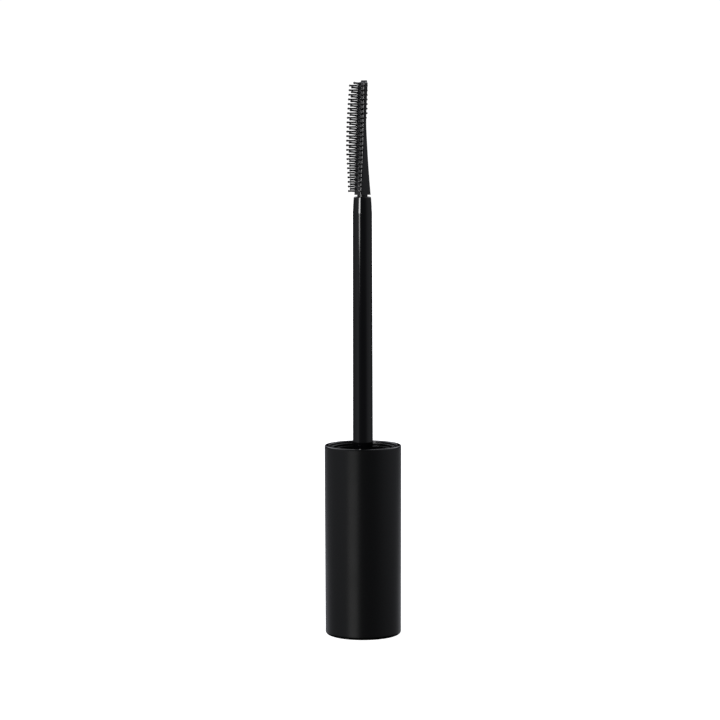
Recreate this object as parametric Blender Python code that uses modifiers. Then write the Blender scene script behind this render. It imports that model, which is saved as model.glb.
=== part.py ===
"""A mascara applicator: screw cap, thread liner, gasket, weight, stem and moulded brush.

Metres, +Z up. The origin is the centre of the cap's closed end, on which the applicator stands, and the
axis of every turned piece is Z. The brush's long bristles point to -X and its two side rows to -Y and +Y.
"""

import math

import bmesh
import bpy
from mathutils import Matrix, Vector

MM = 0.001

# Clearance between pieces that seat in or on each other
FIT_GAP = 0.3 * MM

# Cap shell
CAP_RADIUS = 9.0 * MM  # outside, at the rim
CAP_LENGTH = 44.8 * MM
CAP_DRAFT = 0.09 * MM  # how much smaller the radius is at the closed end
CAP_WALL = 1.05 * MM
CAP_END_WALL = 1.6 * MM
CAP_END_ROUND = 0.7 * MM
LIP_OUTER_ROUND = 0.15 * MM
LIP_INNER_ROUND = 0.2 * MM

# Thread liner
LINER_DROP = 0.42 * MM  # from the cap's rim down to the liner's top edge
LINER_WALL = 1.05 * MM
LINER_ENTRY_STEP = 0.35 * MM  # how much wider the bore is at its mouth
LINER_ENTRY_DEPTH = 0.62 * MM
LINER_DEPTH = 14.33 * MM  # from its top edge to its floor
LINER_FLOOR = 0.9 * MM
LINER_EDGE_ROUND = 0.2 * MM
THREAD_START = 0.6 * MM  # from the entry's step down to the thread
THREAD_HEIGHT = 0.6 * MM
THREAD_PITCH = 2.6 * MM
THREAD_TURNS = 1.5
THREAD_ROOT_WIDTH = 1.3 * MM
THREAD_CREST_WIDTH = 0.45 * MM
TAIL_WALL = 1.2 * MM
RIB_COUNT = 6
RIB_WIDTH = 1.0 * MM

# Gasket and weight
GASKET_MARGIN = 0.4 * MM  # from the thread's crest in to the gasket's edge
GASKET_THICKNESS = 0.8 * MM
GASKET_OVERLAP = 0.9 * MM  # how much of the liner's seat it covers
WEIGHT_HEIGHT = 6.0 * MM
WEIGHT_CHAMFER = 0.8 * MM
WEIGHT_HOLE_RADIUS = 1.6 * MM

# Stem
STEM_LENGTH = 58.1 * MM  # from the cap's rim to the stem's end
STEM_RADIUS = 2.355 * MM  # at the cap's rim
STEM_TAPER = 0.0018  # loss of radius for each metre of length
STEM_TIP_LENGTH = 3.75 * MM
STEM_TIP_NARROWING = 0.335 * MM  # from the radius at the cap's rim to the radius at the end
STEM_TIP_ROUND = 0.35 * MM
ROOT_STEP = 0.15 * MM  # how much thicker the root is than the stem at the rim
ROOT_ROOM = 7.3 * MM  # from the weight up to the root's end
FLANGE_THICKNESS = 1.0 * MM
BEAD_HEIGHT = 0.5 * MM
BEAD_LENGTH = 1.5 * MM
SOCKET_DEPTH = 6.0 * MM

# Brush
NECK_RADIUS = 1.1 * MM
NECK_LENGTH = 0.65 * MM
PLUG_GROOVES = 3
PLUG_GROOVE_DEPTH = 0.2 * MM
BRUSH_LENGTH = 26.2 * MM  # from the neck to the tip
BRUSH_TURN = math.radians(6.0)
# The core at five heights, as shares of the brush's length, in mm about the stem's axis: the centre of the
# half-round comb side, its radius, and the flat edge behind it.
CORE_SHARES = (0.0, 0.17, 0.4, 0.66, 1.0)
CORE_CENTRE = (-0.37, -0.2, 0.05, 0.22, 0.40)
CORE_RADIUS = (1.47, 1.33, 1.23, 1.2, 1.12)
CORE_BACK = (1.86, 1.5, 1.1, 0.79, 1.07)
CORE_BACK_HALF_WIDTH = 0.42  # of the core's radius
CORE_TIP_CHAMFER = 0.55 * MM
CORE_SECTIONS = 14
COMB_SIDES = 6

# Bristles: reach of their tips from the comb's centre, in mm at the same five heights
BRISTLE_REACH = (2.95, 3.3, 3.85, 3.85, 3.4)
BRISTLE_STATIONS = 24
BRISTLE_FIRST = 0.65 * MM  # from the neck to the first station
BRISTLE_LAST = 1.2 * MM  # from the last station to the tip
BRISTLE_ROOT_RADIUS = 0.17 * MM
BRISTLE_TIP_RADIUS = 0.06 * MM
BRISTLE_SINK = 0.35 * MM  # how deep a bristle's root goes into the core
BRISTLE_RISE = 0.1  # how far a bristle's tip is raised, as a share of its length
BRISTLE_SIDES = 5
STATION_ANGLES = (0.0, math.radians(90.0), math.radians(-90.0))
HALF_STATION_ANGLES = (math.radians(47.0), math.radians(-47.0))

# Facets
ROUND_STEPS = 72
SMALL_ROUND_STEPS = 40
THREAD_STEPS = 48  # to a turn
FILLET_STEPS = 4
SMOOTH_ANGLE = math.radians(35.0)
MERGE_DISTANCE = 1e-6

# Heights and radii that follow from the sizes above
CAP_BORE = CAP_RADIUS - CAP_WALL
LINER_TOP = CAP_LENGTH - LINER_DROP
LINER_RADIUS = CAP_BORE - FIT_GAP
LINER_BORE = LINER_RADIUS - LINER_WALL
ENTRY_RADIUS = LINER_BORE + LINER_ENTRY_STEP
ENTRY_Z = LINER_TOP - LINER_ENTRY_DEPTH
THREAD_CREST = LINER_BORE - THREAD_HEIGHT
SEAT_Z = LINER_TOP - LINER_DEPTH
GASKET_Z = SEAT_Z + FIT_GAP
GASKET_RADIUS = THREAD_CREST - GASKET_MARGIN
WEIGHT_Z = CAP_END_WALL + FIT_GAP
WEIGHT_TOP_Z = WEIGHT_Z + WEIGHT_HEIGHT
ROOT_RADIUS = STEM_RADIUS + ROOT_STEP
ROOT_END_Z = WEIGHT_TOP_Z + ROOT_ROOM
BEAD_TOP_Z = ROOT_END_Z + BEAD_LENGTH
RECESS_RADIUS = GASKET_RADIUS - GASKET_OVERLAP
FLANGE_RADIUS = RECESS_RADIUS - FIT_GAP
FLANGE_FLOOR_Z = SEAT_Z - FLANGE_THICKNESS - FIT_GAP
LINER_UNDER_Z = FLANGE_FLOOR_Z - LINER_FLOOR
TAIL_BORE = ROOT_RADIUS + FIT_GAP
TAIL_RADIUS = TAIL_BORE + TAIL_WALL
TAIL_END_Z = BEAD_TOP_Z + FIT_GAP
STEM_END_Z = CAP_LENGTH + STEM_LENGTH
STEM_TIP_RADIUS = STEM_RADIUS - STEM_TIP_NARROWING
SOCKET_RADIUS = NECK_RADIUS + FIT_GAP
SOCKET_FLOOR_Z = STEM_END_Z - SOCKET_DEPTH
BRUSH_Z = STEM_END_Z + NECK_LENGTH


def clear_scene():
    for old in list(bpy.data.objects):
        bpy.data.objects.remove(old, do_unlink=True)


def make_collection(name):
    found = bpy.data.collections.new(name)
    bpy.context.scene.collection.children.link(found)
    return found


def make_material(name, colour, roughness, metallic=0.0):
    material = bpy.data.materials.new(name)
    material.use_nodes = True
    shader = material.node_tree.nodes["Principled BSDF"]
    shader.inputs["Base Color"].default_value = (*colour, 1.0)
    shader.inputs["Roughness"].default_value = roughness
    shader.inputs["Metallic"].default_value = metallic
    return material


def add_object(name, mesh, collection, material=None):
    added = bpy.data.objects.new(name, mesh)
    collection.objects.link(added)
    if material:
        mesh.materials.append(material)
    return added


def hide_helper(helper):
    helper.hide_render = True
    helper.display_type = "WIRE"


def fillet(centre_r, centre_z, radius, start, stop):
    """Points (r, z) of an arc from one angle to another, in degrees, counted from the +r direction."""
    points = []
    for step in range(FILLET_STEPS + 1):
        angle = math.radians(start + (stop - start) * step / FILLET_STEPS)
        points.append((centre_r + radius * math.cos(angle), centre_z + radius * math.sin(angle)))
    return points


def turned(name, profile, steps, collection, material=None, ring=False):
    """Turn a profile of (r, z) points round Z. It runs down its outer side, and a ring's closes on itself."""
    shape = bmesh.new()
    corners = [shape.verts.new((r, 0.0, z)) for r, z in profile]
    for first, second in zip(corners, corners[1:]):
        shape.edges.new((first, second))
    if ring:
        shape.edges.new((corners[-1], corners[0]))
    mesh = bpy.data.meshes.new(name)
    shape.to_mesh(mesh)
    shape.free()
    turned_object = add_object(name, mesh, collection, material)
    screw = turned_object.modifiers.new("turn", "SCREW")
    screw.axis = "Z"
    screw.angle = math.tau
    screw.steps = steps
    screw.render_steps = steps
    screw.use_merge_vertices = True
    screw.merge_threshold = MERGE_DISTANCE
    screw.use_smooth_shade = True
    return turned_object


def join_with(target, helper, name):
    """Union a helper solid into a target, which keeps the modifier."""
    hide_helper(helper)
    union = target.modifiers.new(name, "BOOLEAN")
    union.operation = "UNION"
    union.solver = "EXACT"
    union.object = helper


def box_mesh(name, low, high):
    shape = bmesh.new()
    bmesh.ops.create_cube(shape, size=1.0)
    size = [top - bottom for bottom, top in zip(low, high)]
    centre = [(top + bottom) / 2 for bottom, top in zip(low, high)]
    bmesh.ops.scale(shape, vec=size, verts=shape.verts)
    bmesh.ops.translate(shape, vec=centre, verts=shape.verts)
    mesh = bpy.data.meshes.new(name)
    shape.to_mesh(mesh)
    shape.free()
    return mesh


# The cap shell


def make_cap_shell(collection, material):
    base_radius = CAP_RADIUS - CAP_DRAFT
    profile = [(0.0, CAP_END_WALL), (CAP_BORE, CAP_END_WALL)]
    profile += fillet(CAP_BORE + LIP_INNER_ROUND, CAP_LENGTH - LIP_INNER_ROUND, LIP_INNER_ROUND, 180, 90)
    profile += fillet(CAP_RADIUS - LIP_OUTER_ROUND, CAP_LENGTH - LIP_OUTER_ROUND, LIP_OUTER_ROUND, 90, 0)
    profile += fillet(base_radius - CAP_END_ROUND, CAP_END_ROUND, CAP_END_ROUND, 0, -90)
    profile.append((0.0, 0.0))
    return turned("cap_shell", profile, ROUND_STEPS, collection, material)


# The thread liner, a cup with an inside thread, a tail tube and ribs


def thread_mesh(name):
    """A helical ridge on the liner's wall, whose height fades in and out over its first and last steps."""
    steps = round(THREAD_STEPS * THREAD_TURNS)
    fade = THREAD_STEPS / 8
    sunk = LINER_BORE + LINER_WALL / 2
    top = ENTRY_Z - THREAD_START - THREAD_ROOT_WIDTH / 2
    shape = bmesh.new()
    rings = []
    for step in range(steps + 1):
        angle = math.tau * step / THREAD_STEPS
        middle = top - THREAD_PITCH * step / THREAD_STEPS
        share = min(1.0, (step + 0.5) / fade, (steps - step + 0.5) / fade)
        crest = LINER_BORE - THREAD_HEIGHT * share
        half_root = THREAD_ROOT_WIDTH * (0.5 + 0.5 * share) / 2
        half_crest = THREAD_CREST_WIDTH / 2
        section = ((sunk, half_root), (crest, half_crest), (crest, -half_crest), (sunk, -half_root))
        rings.append(
            [
                shape.verts.new((r * math.cos(angle), r * math.sin(angle), middle + rise))
                for r, rise in section
            ]
        )
    for near, far in zip(rings, rings[1:]):
        for side in range(4):
            after = (side + 1) % 4
            shape.faces.new((near[side], near[after], far[after], far[side]))
    shape.faces.new(rings[0])
    shape.faces.new(rings[-1])
    bmesh.ops.recalc_face_normals(shape, faces=shape.faces)
    mesh = bpy.data.meshes.new(name)
    shape.to_mesh(mesh)
    shape.free()
    return mesh


def make_thread_liner(collection, helpers, material):
    profile = fillet(LINER_RADIUS - LINER_EDGE_ROUND, LINER_TOP - LINER_EDGE_ROUND, LINER_EDGE_ROUND, 90, 0)
    profile += [
        (LINER_RADIUS, LINER_UNDER_Z),
        (TAIL_RADIUS, LINER_UNDER_Z),
        (TAIL_RADIUS, TAIL_END_Z),
        (TAIL_BORE, TAIL_END_Z),
        (TAIL_BORE, FLANGE_FLOOR_Z),
        (RECESS_RADIUS, FLANGE_FLOOR_Z),
        (RECESS_RADIUS, SEAT_Z),
        (LINER_BORE, SEAT_Z),
        (LINER_BORE, ENTRY_Z),
        (ENTRY_RADIUS, ENTRY_Z),
    ]
    profile += fillet(ENTRY_RADIUS + LINER_EDGE_ROUND, LINER_TOP - LINER_EDGE_ROUND, LINER_EDGE_ROUND, 180, 90)
    liner = turned("thread_liner", profile, ROUND_STEPS, collection, material, ring=True)

    thread = add_object("thread_ridge", thread_mesh("thread_ridge"), helpers)
    join_with(liner, thread, "thread")

    rib_in = (TAIL_BORE + TAIL_RADIUS) / 2
    rib_out = math.sqrt(LINER_RADIUS**2 - RIB_WIDTH**2)
    low = (rib_in, -RIB_WIDTH / 2, WEIGHT_TOP_Z + FIT_GAP)
    high = (rib_out, RIB_WIDTH / 2, LINER_UNDER_Z + LINER_FLOOR / 2)
    rib_mesh = box_mesh("rib", low, high)
    for number in range(RIB_COUNT):
        rib = add_object(f"rib_{number + 1}", rib_mesh, helpers)
        rib.rotation_euler = (0.0, 0.0, math.tau * (number + 0.25) / RIB_COUNT)
        join_with(liner, rib, rib.name)
    return liner


# The gasket and the weight


def make_neck_gasket(collection, material):
    inner = stem_radius(GASKET_Z) + FIT_GAP
    top = GASKET_Z + GASKET_THICKNESS
    profile = [(GASKET_RADIUS, top), (GASKET_RADIUS, GASKET_Z), (inner, GASKET_Z), (inner, top)]
    return turned("neck_gasket", profile, ROUND_STEPS, collection, material, ring=True)


def make_cap_weight(collection, material):
    radius = CAP_BORE - FIT_GAP
    profile = [
        (radius - WEIGHT_CHAMFER, WEIGHT_TOP_Z),
        (radius, WEIGHT_TOP_Z - WEIGHT_CHAMFER),
        (radius, WEIGHT_Z + WEIGHT_CHAMFER),
        (radius - WEIGHT_CHAMFER, WEIGHT_Z),
        (WEIGHT_HOLE_RADIUS, WEIGHT_Z),
        (WEIGHT_HOLE_RADIUS, WEIGHT_TOP_Z),
    ]
    return turned("cap_weight", profile, ROUND_STEPS, collection, material, ring=True)


# The stem


def stem_radius(z):
    """The stem's radius at a height, from its size at the cap's rim and its taper."""
    return STEM_RADIUS - STEM_TAPER * (z - CAP_LENGTH)


def make_stem(collection, material):
    tip_start = STEM_END_Z - STEM_TIP_LENGTH
    flange_under = SEAT_Z - FLANGE_THICKNESS
    bead_radius = ROOT_RADIUS + BEAD_HEIGHT
    profile = [(0.0, SOCKET_FLOOR_Z), (SOCKET_RADIUS, SOCKET_FLOOR_Z), (SOCKET_RADIUS, STEM_END_Z)]
    profile += fillet(STEM_TIP_RADIUS - STEM_TIP_ROUND, STEM_END_Z - STEM_TIP_ROUND, STEM_TIP_ROUND, 90, 0)
    profile += [
        (stem_radius(tip_start), tip_start),
        (stem_radius(SEAT_Z), SEAT_Z),
        (FLANGE_RADIUS, SEAT_Z),
        (FLANGE_RADIUS, flange_under),
        (ROOT_RADIUS, flange_under),
        (ROOT_RADIUS, BEAD_TOP_Z),
        (bead_radius, BEAD_TOP_Z),
        (bead_radius, BEAD_TOP_Z - BEAD_LENGTH / 3),
        (ROOT_RADIUS - BEAD_HEIGHT, ROOT_END_Z),
        (0.0, ROOT_END_Z),
    ]
    return turned("stem", profile, SMALL_ROUND_STEPS, collection, material)


# The brush


def along_core(values, share):
    """A value of the core, in metres, at a share of its length: a smooth curve through the given heights."""
    last = len(CORE_SHARES) - 1
    index = max(i for i in range(last) if share >= CORE_SHARES[i])
    low, high = CORE_SHARES[index], CORE_SHARES[index + 1]
    slopes = []
    for at in (index, index + 1):
        before, after = max(at - 1, 0), min(at + 1, last)
        slopes.append((values[after] - values[before]) / (CORE_SHARES[after] - CORE_SHARES[before]))
    t = (share - low) / (high - low)
    span = high - low
    return MM * (
        values[index] * (1 + 2 * t) * (1 - t) ** 2
        + slopes[0] * span * t * (1 - t) ** 2
        + values[index + 1] * t * t * (3 - 2 * t)
        + slopes[1] * span * t * t * (t - 1)
    )


def core_section(share, inset):
    """The core's outline (x, y) at a share of its length: a half-round comb side and a narrowing back."""
    centre = along_core(CORE_CENTRE, share)
    radius = along_core(CORE_RADIUS, share) - inset
    back = along_core(CORE_BACK, share) - inset / 3
    outline = []
    for step in range(COMB_SIDES + 1):
        angle = math.pi / 2 + math.pi * step / COMB_SIDES
        outline.append((centre + radius * math.cos(angle), radius * math.sin(angle)))
    half_back = radius * CORE_BACK_HALF_WIDTH
    outline += [(back, -half_back), (back, half_back)]
    return outline


def core_mesh(name):
    """A loft of the core's sections from the neck to the tip, which is chamfered on the comb side."""
    shape = bmesh.new()
    chamfer_share = CORE_TIP_CHAMFER / BRUSH_LENGTH
    shares = [(1.0 - chamfer_share) * step / CORE_SECTIONS for step in range(CORE_SECTIONS + 1)]
    places = [(share, 0.0) for share in shares] + [(1.0, CORE_TIP_CHAMFER)]
    rings = []
    for share, inset in places:
        z = BRUSH_Z + BRUSH_LENGTH * share
        rings.append([shape.verts.new((x, y, z)) for x, y in core_section(share, inset)])
    count = len(rings[0])
    for near, far in zip(rings, rings[1:]):
        for side in range(count):
            after = (side + 1) % count
            shape.faces.new((near[side], near[after], far[after], far[side]))
    shape.faces.new(rings[0])
    shape.faces.new(rings[-1])
    bmesh.ops.recalc_face_normals(shape, faces=shape.faces)
    mesh = bpy.data.meshes.new(name)
    shape.to_mesh(mesh)
    shape.free()
    return mesh


def add_bristle(shape, share, angle):
    """One tapered bristle, from inside the core out to its reach, turned by an angle from -X."""
    centre = Vector((along_core(CORE_CENTRE, share), 0.0, BRUSH_Z + BRUSH_LENGTH * share))
    outward = Vector((-math.cos(angle), -math.sin(angle), 0.0))
    start = along_core(CORE_RADIUS, share) - BRISTLE_SINK
    length = along_core(BRISTLE_REACH, share) - start
    direction = (outward + Vector((0.0, 0.0, BRISTLE_RISE))).normalized()
    middle = centre + outward * start + direction * length / 2
    turn = direction.to_track_quat("Z", "Y").to_matrix().to_4x4()
    bmesh.ops.create_cone(
        shape,
        cap_ends=True,
        segments=BRISTLE_SIDES,
        radius1=BRISTLE_ROOT_RADIUS,
        radius2=BRISTLE_TIP_RADIUS,
        depth=length,
        matrix=Matrix.Translation(middle) @ turn,
    )


def bristle_mesh(name):
    shape = bmesh.new()
    span = BRUSH_LENGTH - BRISTLE_FIRST - BRISTLE_LAST
    pitch = span / (BRISTLE_STATIONS - 1)
    for station in range(BRISTLE_STATIONS):
        height = BRISTLE_FIRST + pitch * station
        for angle in STATION_ANGLES:
            add_bristle(shape, height / BRUSH_LENGTH, angle)
        for angle in HALF_STATION_ANGLES:
            add_bristle(shape, (height + pitch / 2) / BRUSH_LENGTH, angle)
    mesh = bpy.data.meshes.new(name)
    shape.to_mesh(mesh)
    shape.free()
    return mesh


def make_plug(helpers):
    """The neck and the plug below it, with ring grooves that the stem's socket grips."""
    bottom = SOCKET_FLOOR_Z + FIT_GAP
    overlap = NECK_LENGTH / 2
    pitch = (STEM_END_Z - bottom) / (2 * PLUG_GROOVES + 1)
    groove_radius = NECK_RADIUS - PLUG_GROOVE_DEPTH
    profile = [(0.0, BRUSH_Z + overlap), (NECK_RADIUS, BRUSH_Z + overlap)]
    for groove in range(PLUG_GROOVES):
        top = STEM_END_Z - pitch * (2 * groove + 1)
        profile += [
            (NECK_RADIUS, top),
            (groove_radius, top - PLUG_GROOVE_DEPTH),
            (groove_radius, top - pitch + PLUG_GROOVE_DEPTH),
            (NECK_RADIUS, top - pitch),
        ]
    profile += [(NECK_RADIUS, bottom + PLUG_GROOVE_DEPTH), (groove_radius, bottom), (0.0, bottom)]
    return turned("brush_plug", profile, SMALL_ROUND_STEPS // 2, helpers)


def make_brush(collection, helpers, material):
    brush = add_object("brush", core_mesh("brush"), collection, material)
    bristles = add_object("bristle_rows", bristle_mesh("bristle_rows"), helpers)
    join_with(brush, make_plug(helpers), "plug")
    join_with(brush, bristles, "bristles")
    for piece in (brush, bristles):
        piece.rotation_euler = (0.0, 0.0, BRUSH_TURN)
    return brush


def main():
    clear_scene()
    pieces = make_collection("mascara_applicator")
    helpers = make_collection("mascara_applicator_helpers")
    make_cap_shell(pieces, make_material("matte_black_abs", (0.012, 0.012, 0.014), 0.45))
    make_thread_liner(pieces, helpers, make_material("black_polypropylene", (0.01, 0.01, 0.011), 0.35))
    make_neck_gasket(pieces, make_material("pale_foam_pe", (0.75, 0.75, 0.73), 0.7))
    make_cap_weight(pieces, make_material("plated_steel", (0.55, 0.55, 0.56), 0.35, 1.0))
    make_stem(pieces, make_material("gloss_black_acetal", (0.01, 0.01, 0.011), 0.15))
    make_brush(pieces, helpers, make_material("satin_black_elastomer", (0.02, 0.021, 0.023), 0.4))
    bpy.context.view_layer.update()


main()
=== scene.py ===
# %% [markdown]
# # A mascara applicator: looks built round a CAD frame
# The applicator is the half of a mascara that is held in the hand: a screw cap, a thin stem and a moulded
# brush. Its design is a CAD model, loaded here as a fixed frame in metres. This lesson builds finer pieces
# in the places that the frame gives, makes their finishes, and lights them for a product picture.

# %% Load the frame
import math

import bmesh
import bpy
from mathutils import Matrix, Vector


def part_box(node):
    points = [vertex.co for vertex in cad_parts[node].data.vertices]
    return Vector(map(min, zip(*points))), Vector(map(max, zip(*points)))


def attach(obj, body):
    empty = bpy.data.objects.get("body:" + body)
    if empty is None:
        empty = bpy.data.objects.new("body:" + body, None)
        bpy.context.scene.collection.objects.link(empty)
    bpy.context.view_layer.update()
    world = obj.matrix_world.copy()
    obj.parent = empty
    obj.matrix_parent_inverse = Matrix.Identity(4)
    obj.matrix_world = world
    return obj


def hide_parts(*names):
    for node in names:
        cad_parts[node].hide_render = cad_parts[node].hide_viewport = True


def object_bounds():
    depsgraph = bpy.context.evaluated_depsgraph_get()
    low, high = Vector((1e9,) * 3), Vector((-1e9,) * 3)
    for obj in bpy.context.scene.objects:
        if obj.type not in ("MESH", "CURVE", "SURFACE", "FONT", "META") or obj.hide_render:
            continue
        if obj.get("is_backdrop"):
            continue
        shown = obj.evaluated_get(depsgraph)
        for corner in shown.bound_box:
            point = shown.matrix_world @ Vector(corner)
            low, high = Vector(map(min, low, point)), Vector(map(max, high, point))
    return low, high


MM = 0.001
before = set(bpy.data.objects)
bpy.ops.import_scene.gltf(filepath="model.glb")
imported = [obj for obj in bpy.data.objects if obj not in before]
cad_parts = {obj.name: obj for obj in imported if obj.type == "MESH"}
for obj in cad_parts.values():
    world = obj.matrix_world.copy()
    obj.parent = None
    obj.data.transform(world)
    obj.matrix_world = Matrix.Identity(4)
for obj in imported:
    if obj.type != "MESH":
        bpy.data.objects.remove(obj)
cad_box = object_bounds()
print("frame:", sorted(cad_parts))
print("box in mm:", [round(v / MM, 2) for corner in cad_box for v in corner])

# %% [markdown]
# ## The camera
# A small object in a product picture is taken with a long lens, so that its sides stay nearly parallel. The
# camera stands a little over half a metre away, a little lower than the brush's tip, and looks down by a few
# degrees. That shows the cap's mouth as a thin ellipse. It is set before anything else, so that each piece
# can be judged from it.

# %% Place the camera
CAMERA_DISTANCE = 580.6 * MM
CAMERA_HEIGHT = 119.9 * MM
CAMERA_SIDE = -0.64 * MM
CAMERA_TILT = math.radians(5.424)
CAMERA_ROLL = math.radians(-0.13)
CAMERA_LENS_MM = 124.75

camera_data = bpy.data.cameras.new("camera")
camera_data.lens = CAMERA_LENS_MM
camera_data.sensor_width = 36.0
camera_data.clip_start = 0.01
camera = bpy.data.objects.new("camera", camera_data)
bpy.context.scene.collection.objects.link(camera)
camera.matrix_world = (
    Matrix.Translation((CAMERA_SIDE, -CAMERA_DISTANCE, CAMERA_HEIGHT))
    @ Matrix.Rotation(math.pi / 2 - CAMERA_TILT, 4, "X")
    @ Matrix.Rotation(CAMERA_ROLL, 4, "Z")
)
bpy.context.scene.camera = camera

# %% [markdown]
# ## Nodes for finishes
# Each material below is a small tree of shader nodes, and a few helpers keep them short. One turns an sRGB
# hex colour into the linear values that shaders use. One adds a node with its settings and its links. Three
# more turn a noise into a spread of roughness, a tint and a bump, which is what every finish here needs.
# Noise textures work in object coordinates, in metres, so a grain of 0.3 mm is a scale of 1 / 0.3 mm.

# %% Helpers for node trees
NOISE_LOW, NOISE_HIGH = 0.3, 0.7


def linear(hex_colour):
    """The linear RGBA value of an sRGB colour such as '#1a1a1c'."""
    values = [int(hex_colour[i : i + 2], 16) / 255 for i in (1, 3, 5)]
    return (*(v / 12.92 if v <= 0.04045 else ((v + 0.055) / 1.055) ** 2.4 for v in values), 1.0)


def add_node(tree, kind, settings=None, inputs=None):
    """Add a node, set its properties, and give its inputs values or links from other nodes' outputs."""
    node = tree.nodes.new(kind)
    for name, value in (settings or {}).items():
        setattr(node, name, value)
    for name, value in (inputs or {}).items():
        if isinstance(value, bpy.types.NodeSocket):
            tree.links.new(value, node.inputs[name])
        else:
            node.inputs[name].default_value = value
    return node


def new_material(name):
    """A material with a Principled shader, its tree, and the piece's object coordinates."""
    material = bpy.data.materials.new(name)
    material.use_nodes = True
    tree = material.node_tree
    place = add_node(tree, "ShaderNodeTexCoord").outputs["Object"]
    return material, tree, tree.nodes["Principled BSDF"], place


def set_finish(shader, **values):
    """Set uniform values on the shader's own sockets, by their names with _ for a space."""
    for name, value in values.items():
        shader.inputs[name.replace("_", " ")].default_value = value


def noise(tree, place, size, detail):
    """A noise whose features are about this size, in metres."""
    inputs = {"Vector": place, "Scale": 1 / size, "Detail": detail}
    return add_node(tree, "ShaderNodeTexNoise", inputs=inputs).outputs["Fac"]


def spread(tree, value, low, high):
    """Numbers from low to high, as a noise goes over its usual range."""
    limits = {"From Min": NOISE_LOW, "From Max": NOISE_HIGH, "To Min": low, "To Max": high}
    return add_node(tree, "ShaderNodeMapRange", inputs={"Value": value, **limits}).outputs["Result"]


def tint(tree, share, first, second):
    """A colour between two sRGB hex colours."""
    colours = {"Factor": share, "A": linear(first), "B": linear(second)}
    return add_node(tree, "ShaderNodeMix", {"data_type": "RGBA"}, colours).outputs["Result"]


def bump(tree, value, strength, distance):
    """A surface normal that a noise tilts, as if it were relief of this depth in metres."""
    inputs = {"Strength": strength, "Distance": distance, "Height": value}
    return add_node(tree, "ShaderNodeBump", inputs=inputs).outputs["Normal"]


def join(tree, shader, **outputs):
    """Link outputs to the shader's sockets, by their names with _ for a space."""
    for name, output in outputs.items():
        tree.links.new(output, shader.inputs[name.replace("_", " ")])


# %% [markdown]
# ## Finish of the cap: matte lacquered ABS
# The outer cap is moulded in ABS and sprayed with a matte black lacquer. The lacquer gives a soft, wide
# highlight and a very fine, even grain. It is a little shinier where the lip is rubbed. The real grain is
# finer than the render can show, so it is drawn at 0.3 mm.

# %% Matte lacquered ABS
LACQUER_GRAIN = 0.3 * MM
LACQUER_CLOUDS = 7.0 * MM
WEAR_START, WEAR_END = 0.4 * MM, 0.2 * MM
cap_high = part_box("cap_shell")[1]

lacquer, tree, shader, place = new_material("matte_lacquered_abs")
set_finish(shader, IOR=1.47, Specular_IOR_Level=0.5)
clouds = noise(tree, place, LACQUER_CLOUDS, 3.0)
height = add_node(tree, "ShaderNodeSeparateXYZ", inputs={0: place}).outputs["Z"]
rim_wear = add_node(
    tree,
    "ShaderNodeMapRange",
    {"interpolation_type": "SMOOTHSTEP"},
    {
        "Value": height,
        "From Min": cap_high.z - WEAR_START,
        "From Max": cap_high.z - WEAR_END,
        "To Min": 0.0,
        "To Max": 0.2,
    },
)
rough = spread(tree, clouds, 0.3, 0.33)
worn = add_node(tree, "ShaderNodeMath", {"operation": "SUBTRACT"}, {0: rough, 1: rim_wear.outputs["Result"]})
grain = noise(tree, place, LACQUER_GRAIN, 2.0)
join(
    tree,
    shader,
    Roughness=worn.outputs["Value"],
    Base_Color=tint(tree, clouds, "#060607", "#0a0a0b"),
    Normal=bump(tree, grain, 0.25, 0.01 * MM),
)

# %% [markdown]
# ## Finish of the stem: glossy moulded acetal
# The stem is a slim moulding in black acetal from a polished mould, so it mirrors its surroundings as sharp
# upright lines. The melt flowed along it, which leaves faint streaks that run its whole length.

# %% Glossy moulded acetal
FLOW_WIDTH = 0.5 * MM
FLOW_STRETCH = 0.02

acetal, tree, shader, place = new_material("gloss_moulded_acetal")
set_finish(shader, IOR=1.48)
stretched = add_node(tree, "ShaderNodeMapping", inputs={"Vector": place, "Scale": (1.0, 1.0, FLOW_STRETCH)})
streaks = noise(tree, stretched.outputs["Vector"], FLOW_WIDTH, 2.0)
join(
    tree,
    shader,
    Roughness=spread(tree, streaks, 0.05, 0.07),
    Base_Color=tint(tree, streaks, "#020203", "#050506"),
    Normal=bump(tree, streaks, 0.15, 0.004 * MM),
)

# %% [markdown]
# ## Finish of the brush: satin moulded elastomer
# The brush is moulded in one shot in a stiff black elastomer. Its mould is spark-eroded, not polished, so
# the brush has a satin skin that catches light softly along its ridges.

# %% Satin moulded elastomer
SKIN_GRAIN = 0.15 * MM

elastomer, tree, shader, place = new_material("satin_moulded_elastomer")
set_finish(shader, IOR=1.5)
skin = noise(tree, place, SKIN_GRAIN, 2.0)
join(
    tree,
    shader,
    Roughness=spread(tree, skin, 0.2, 0.26),
    Base_Color=tint(tree, skin, "#101011", "#141416"),
    Normal=bump(tree, skin, 0.1, 0.004 * MM),
)

# %% [markdown]
# ## Finish of the inner cap: moulded polypropylene
# The inner cap is plain black polypropylene, a waxy plastic with a satin surface. Only its mouth shows,
# deep in the cap. Its mirror-like part is set far below real polypropylene's, as painted shade for that
# depth.

# %% Moulded polypropylene
WAX_CLOUDS = 1.2 * MM

polypropylene, tree, shader, place = new_material("satin_polypropylene_with_painted_shade")
# The low Specular IOR Level is painted shade for the deep mouth. Real polypropylene mirrors much more.
set_finish(shader, IOR=1.49, Specular_IOR_Level=0.08)
wax = noise(tree, place, WAX_CLOUDS, 3.0)
join(
    tree,
    shader,
    Roughness=spread(tree, wax, 0.15, 0.2),
    Base_Color=tint(tree, wax, "#030303", "#060607"),
)

# %% [markdown]
# ## Finishes of the hidden pieces
# The gasket is die-cut from foamed polyethylene sheet, with closed cells of about a quarter of a millimetre.
# The weight is turned from steel bar and zinc plated, and fine rings from the tool show on its flat faces.
# Both pieces keep the CAD model's shape, which is already right, and only get these finishes.

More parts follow.
